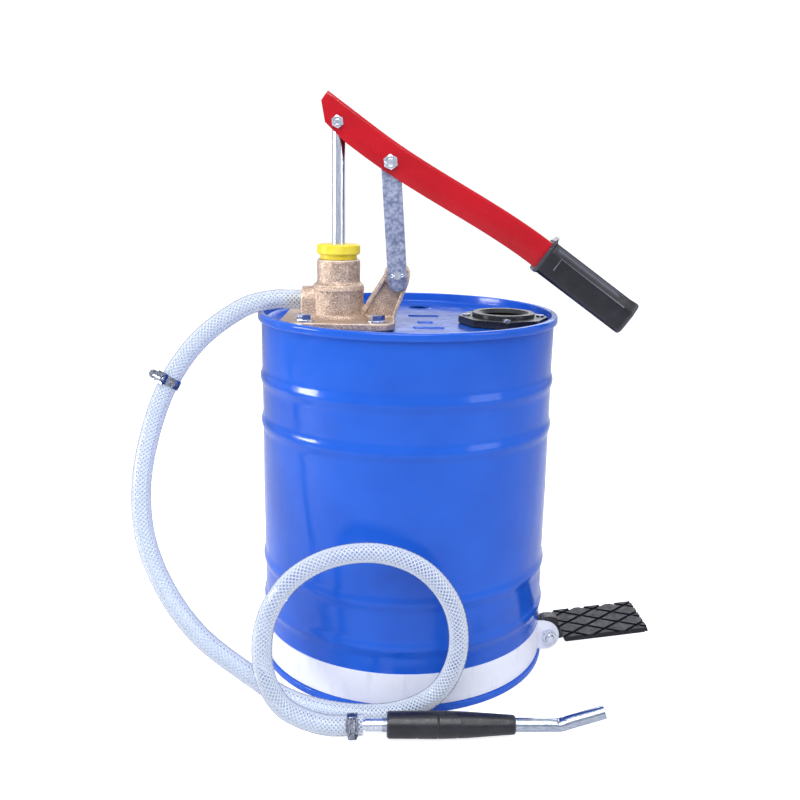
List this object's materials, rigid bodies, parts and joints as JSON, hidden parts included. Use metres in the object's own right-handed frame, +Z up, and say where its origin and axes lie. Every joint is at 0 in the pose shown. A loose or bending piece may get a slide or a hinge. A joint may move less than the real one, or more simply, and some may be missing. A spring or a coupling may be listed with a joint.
{
  "type": "hand-lever gear oil pump on a drum",
  "caption": "Hand-lever piston pump on a closed steel drum, with a clear delivery hose, a bent nozzle, a filler opening and a foot pedal.",
  "frame": {"origin": "centre of the drum's foot, on the floor", "axes": "+Z up along the drum's axis, +X towards the foot pedal, -Y towards the side where the hose and nozzle lie"},
  "size_m": [0.4968, 0.349, 0.5536],
  "materials": {
    "blue_paint": "gloss enamel",
    "cast_bronze": "sand-cast, blasted",
    "red_enamel": "gloss enamel",
    "white_coat": "satin enamel",
    "black_coat": "satin enamel",
    "zinc": "galvanised",
    "bright_steel": "bright zinc plate",
    "chrome_steel": "polished",
    "turned_brass": "turned",
    "yellow_plastic": "moulded",
    "black_plastic": "moulded",
    "black_rubber": "moulded",
    "seal_rubber": "plain",
    "packing": "braided",
    "clear_hose": "clear with woven strands"
  },
  "bodies": {
    "frame": {"drum_shell": "blue_paint", "drum_lid": "blue_paint", "drum_bottom": "blue_paint", "fill_port_flange": "black_plastic", "fill_port_collar": "black_plastic", "fill_port_gasket": "seal_rubber", "fill_port_screws": "bright_steel", "pump_head": "cast_bronze", "head_gasket": "seal_rubber", "head_bolts": "bright_steel", "head_washers": "bright_steel", "head_nuts": "bright_steel", "gland_nut": "yellow_plastic", "gland_packing": "packing", "outlet_barb": "turned_brass", "pump_tube": "bright_steel", "foot_valve_body": "turned_brass", "foot_valve_stop": "bright_steel", "inlet_strainer": "bright_steel", "eye_pin": "bright_steel", "eye_cotter": "bright_steel", "hose": "clear_hose", "hose_clamp_band": "bright_steel", "hose_clamp_housing": "bright_steel", "hose_clamp_screw": "bright_steel", "nozzle_barb": "bright_steel", "nozzle_tube": "chrome_steel", "nozzle_grip": "black_rubber", "base_band": "white_coat", "pedal_bolt_screw": "bright_steel", "pedal_bolt_nut": "bright_steel"},
    "rod": {"piston_rod": "chrome_steel", "piston_body": "turned_brass", "piston_seals": "seal_rubber", "piston_nut": "bright_steel", "piston_stop_ring": "bright_steel"},
    "piston_valve": {"piston_valve": "seal_rubber"},
    "foot_ball": {"foot_valve_ball": "chrome_steel"},
    "lever": {"lever_arm": "red_enamel", "lever_grip": "black_rubber", "rod_bolt": "bright_steel", "rod_bolt_nut": "bright_steel", "rod_spacers": "bright_steel", "pivot_bolt": "bright_steel", "pivot_nut": "bright_steel"},
    "link": {"link_front": "zinc", "link_rear": "zinc", "link_top_pin": "bright_steel", "link_spacer": "bright_steel"},
    "pedal": {"pedal_bracket": "black_coat", "pedal_pad": "black_rubber"}
  },
  "joints": [
    {"name": "rod_slide", "type": "slide", "parent": "frame", "child": "rod", "axis": [0, 0, 1], "range_m": [-0.0738, 0]},
    {"name": "lever_swing", "type": "hinge", "parent": "rod", "child": "lever", "pos_m": [-0.065, -0.04, 0.5275], "axis": [0, -1, 0], "range_deg": [0, 78]},
    {"name": "link_rock", "type": "hinge", "parent": "frame", "child": "link", "pos_m": [-0.0102, -0.04, 0.3923], "axis": [0, -1, 0], "range_deg": [0, 2.48]},
    {"name": "pedal_tilt", "type": "hinge", "parent": "frame", "child": "pedal", "pos_m": [0.1514, -0.025, 0.023], "axis": [0, -1, 0], "range_deg": [-20.5, 0]},
    {"name": "piston_valve_lift", "type": "slide", "parent": "rod", "child": "piston_valve", "axis": [0, 0, 1], "range_m": [0, 0.003]},
    {"name": "foot_ball_lift", "type": "slide", "parent": "frame", "child": "foot_ball", "axis": [0, 0, 1], "range_m": [0, 0.004]}
  ],
  "couplings": [
    {"joint": "rod_slide", "follows": "lever_swing", "m_per_rad": -0.054211},
    {"joint": "link_rock", "follows": "lever_swing", "ratio": 0.031782}
  ]
}
